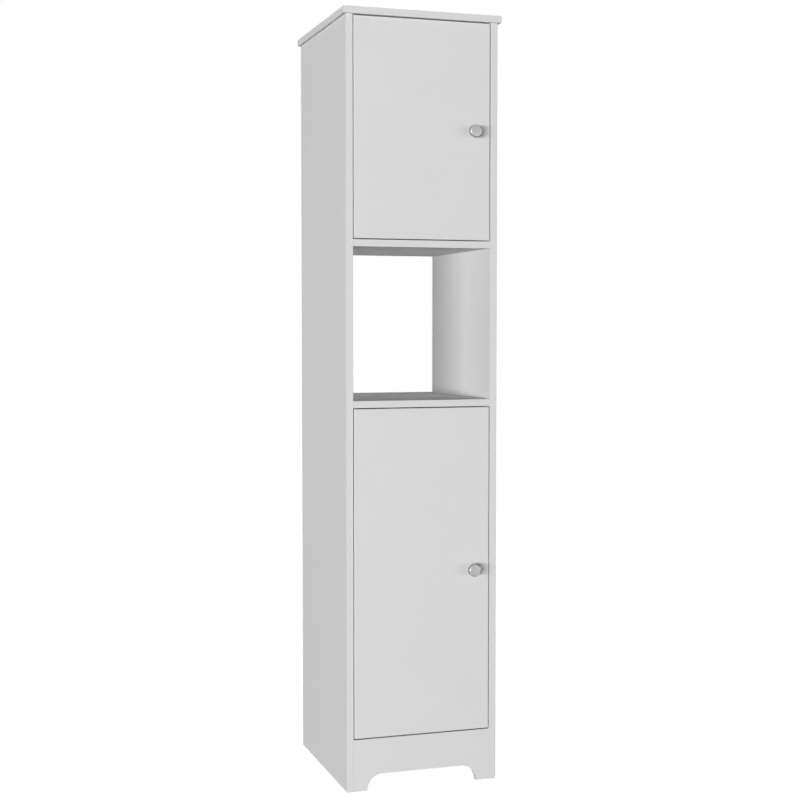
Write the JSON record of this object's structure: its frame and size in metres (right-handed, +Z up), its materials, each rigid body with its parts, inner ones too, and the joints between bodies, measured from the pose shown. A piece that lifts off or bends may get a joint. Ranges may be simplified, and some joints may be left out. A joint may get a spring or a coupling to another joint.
{
  "type": "tall bathroom cabinet",
  "caption": "Tall, narrow bathroom cabinet: two cupboards behind inset doors with round knobs, an open niche between them, an overhanging top and a plinth with an arched cut-out.",
  "frame": {"origin": "on the floor, at the centre of the outline of the cabinet and its knobs seen from above", "axes": "+X to the right and +Y to the back as seen from in front of the doors, +Z up"},
  "size_m": [0.354, 0.4126, 1.665],
  "materials": {
    "white_board": "particle board with a white satin melamine foil on its faces and edges",
    "hardboard": "3 mm hardboard, smooth white lacquered inside, plain brown fibre outside",
    "satin_metal": "satin nickel look, turned and lightly brushed",
    "nickel_steel": "pressed steel, bright nickel plated",
    "zinc_steel": "steel, clear zinc plated",
    "zinc_cast": "die-cast zinc, plain, slightly rough",
    "beech": "bare beech, compressed, grain lengthwise",
    "white_plastic": "moulded plastic, satin",
    "magnet": "sintered ferrite, dark grey, matt"
  },
  "bodies": {
    "carcass": {"left_side_panel": "white_board", "right_side_panel": "white_board", "top_board": "white_board", "upper_fixed_shelf": "white_board", "lower_fixed_shelf": "white_board", "bottom_board": "white_board", "front_apron": "white_board", "upper_back_panel": "hardboard", "lower_back_panel": "hardboard", "upper_shelf": "white_board", "lower_shelf": "white_board", "second_lower_shelf": "white_board", "cam_locks": "zinc_cast", "cam_bolts": "zinc_steel", "dowels": "beech", "shelf_pins": "zinc_steel", "back_panel_nails": "zinc_steel", "wall_bracket": "zinc_steel", "wall_bracket_screws": "zinc_steel", "catch_screws": "zinc_steel", "upper_door_bottom_hinge_arm": "nickel_steel", "upper_door_bottom_hinge_plate": "nickel_steel", "upper_door_top_hinge_arm": "nickel_steel", "upper_door_top_hinge_plate": "nickel_steel", "upper_door_hinge_arm_screws": "zinc_steel", "upper_door_hinge_plate_screws": "zinc_steel", "upper_door_catch": "white_plastic", "upper_door_magnet": "magnet", "lower_door_bottom_hinge_arm": "nickel_steel", "lower_door_bottom_hinge_plate": "nickel_steel", "lower_door_top_hinge_arm": "nickel_steel", "lower_door_top_hinge_plate": "nickel_steel", "lower_door_hinge_arm_screws": "zinc_steel", "lower_door_hinge_plate_screws": "zinc_steel", "lower_door_catch": "white_plastic", "lower_door_magnet": "magnet"},
    "upper_door": {"upper_door": "white_board", "upper_door_knob": "satin_metal", "upper_door_knob_screw": "zinc_steel", "upper_door_strike_plate": "zinc_steel", "upper_door_strike_screw": "zinc_steel", "upper_door_top_hinge_cup": "nickel_steel", "upper_door_bottom_hinge_cup": "nickel_steel", "upper_door_hinge_pins": "nickel_steel", "upper_door_cup_screws": "zinc_steel"},
    "lower_door": {"lower_door": "white_board", "lower_door_knob": "satin_metal", "lower_door_knob_screw": "zinc_steel", "lower_door_strike_plate": "zinc_steel", "lower_door_strike_screw": "zinc_steel", "lower_door_top_hinge_cup": "nickel_steel", "lower_door_bottom_hinge_cup": "nickel_steel", "lower_door_hinge_pins": "nickel_steel", "lower_door_cup_screws": "zinc_steel"}
  },
  "joints": [
    {"name": "upper_door_hinge", "type": "hinge", "parent": "carcass", "child": "upper_door", "pos_m": [-0.1362, -0.1753, 1.4155], "axis": [0, 0, -1], "range_deg": [0, 95]},
    {"name": "lower_door_hinge", "type": "hinge", "parent": "carcass", "child": "lower_door", "pos_m": [-0.1362, -0.1753, 0.468], "axis": [0, 0, -1], "range_deg": [0, 95]}
  ]
}
